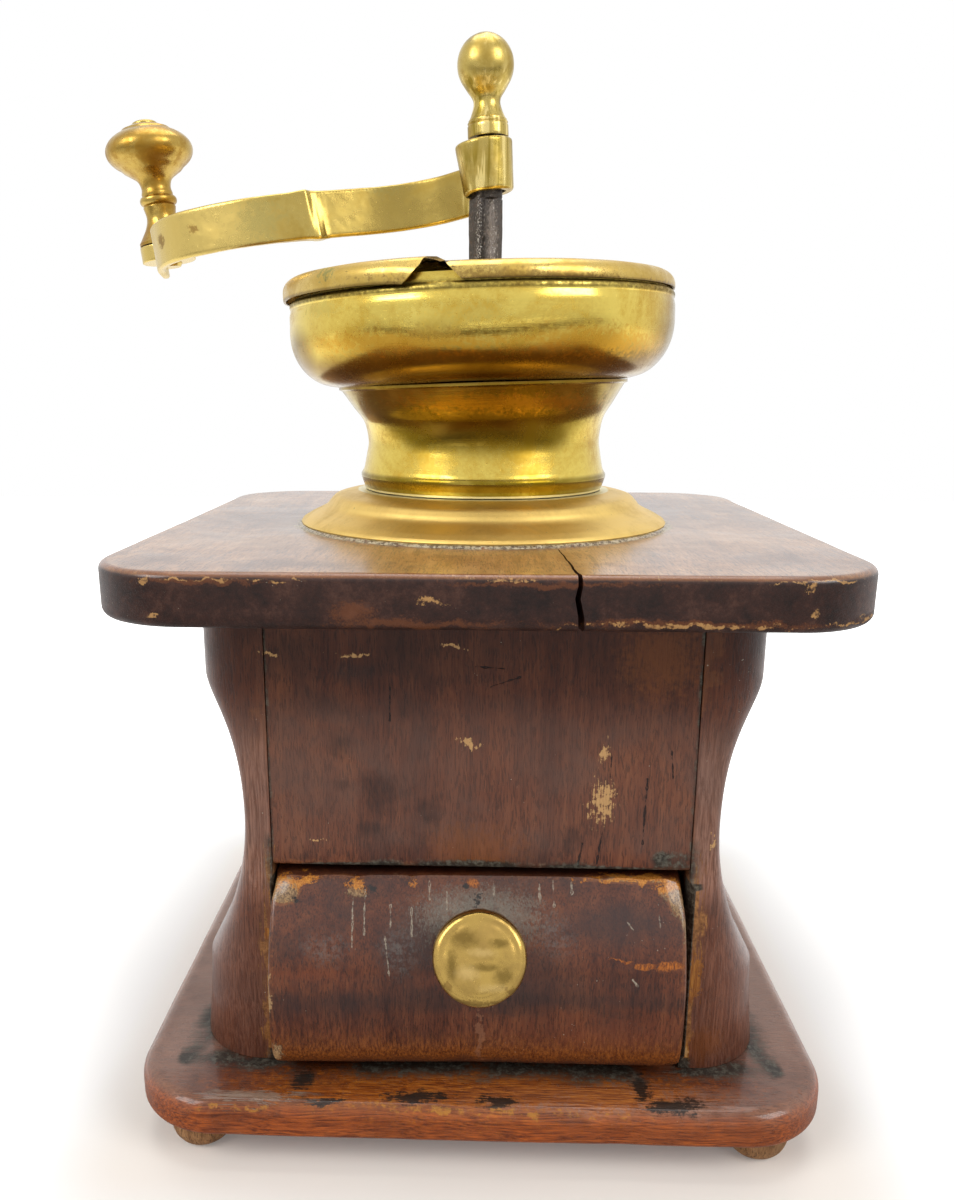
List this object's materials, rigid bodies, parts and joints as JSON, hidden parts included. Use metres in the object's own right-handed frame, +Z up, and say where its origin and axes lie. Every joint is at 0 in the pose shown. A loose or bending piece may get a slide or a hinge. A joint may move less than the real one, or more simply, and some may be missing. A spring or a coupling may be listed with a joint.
{
  "type": "manual coffee grinder",
  "caption": "Wooden box coffee mill with waisted sides, brass hopper with swinging lid, S-curved brass crank, conical burrs and a bow-fronted drawer.",
  "frame": {"origin": "centre of the base board's underside, on the spindle's axis", "axes": "+Z up along the spindle; the drawer opens towards -Y; the crank points to -X; +X right seen from the front"},
  "size_m": [0.2122, 0.1851, 0.2848],
  "materials": {
    "base_wood": "worn varnish, red-brown",
    "case_wood": "worn varnish, dark red-brown",
    "top_wood": "dull, bleached varnish",
    "foot_wood": "bare turned wood",
    "drawer_wood": "bare, unvarnished",
    "hopper_brass": "polished, lightly tarnished",
    "dull_brass": "dull, scratched",
    "knob_brass": "dented, tarnished",
    "crank_brass": "cast, hand-polished",
    "forged_iron": "dark, hammered",
    "cast_burr": "as cast",
    "steel_hardware": "dull"
  },
  "bodies": {
    "mill": {"base_board": "base_wood", "foot_front_left": "foot_wood", "foot_front_right": "foot_wood", "foot_back_left": "foot_wood", "foot_back_right": "foot_wood", "case_screw_front_left": "steel_hardware", "case_screw_front_right": "steel_hardware", "case_screw_back_left": "steel_hardware", "case_screw_back_right": "steel_hardware", "case_side_left": "case_wood", "case_side_right": "case_wood", "case_front_panel": "case_wood", "case_back_panel": "case_wood", "top_board": "top_wood", "hopper_flange": "dull_brass", "hopper_neck": "hopper_brass", "hopper_bowl": "hopper_brass", "lid_fixed_half": "hopper_brass", "bearing_bridge": "forged_iron", "clamp_bolt_left": "steel_hardware", "clamp_nut_left": "steel_hardware", "clamp_bolt_right": "steel_hardware", "clamp_nut_right": "steel_hardware", "burr_ring": "cast_burr", "lower_yoke": "forged_iron", "lock_nut": "steel_hardware"},
    "crank": {"spindle": "forged_iron", "crank_arm": "crank_brass", "finial_nut": "crank_brass", "burr_cone": "cast_burr", "cone_nut": "steel_hardware", "knob_pin": "crank_brass"},
    "grip": {"crank_knob": "crank_brass"},
    "drawer": {"drawer_front": "case_wood", "drawer_side_left": "drawer_wood", "drawer_side_right": "drawer_wood", "drawer_floor": "drawer_wood", "drawer_back": "drawer_wood", "drawer_knob": "knob_brass"},
    "lid": {"lid_swing_half": "hopper_brass"},
    "adjuster": {"adjusting_screw": "steel_hardware"}
  },
  "joints": [
    {"name": "crank_turn", "type": "hinge", "parent": "mill", "child": "crank", "pos_m": [0, 0, 0.2407], "axis": [0, 0, 1], "continuous": true},
    {"name": "grip_spin", "type": "hinge", "parent": "crank", "child": "grip", "pos_m": [-0.1047, 0.0475, 0.22692], "axis": [-0.1305, 0, 0.9914], "continuous": true},
    {"name": "lid_swing", "type": "hinge", "parent": "mill", "child": "lid", "pos_m": [-0.00129, 0, 0.21158], "axis": [-0.0314, 0, 0.9995], "range_deg": [0, 170]},
    {"name": "drawer_slide", "type": "slide", "parent": "mill", "child": "drawer", "axis": [0, -1, 0], "range_m": [0, 0.095]},
    {"name": "adjuster_turn", "type": "hinge", "parent": "mill", "child": "adjuster", "pos_m": [0, 0, 0.08], "axis": [0, 0, 1], "range_deg": [-180, 180]}
  ]
}
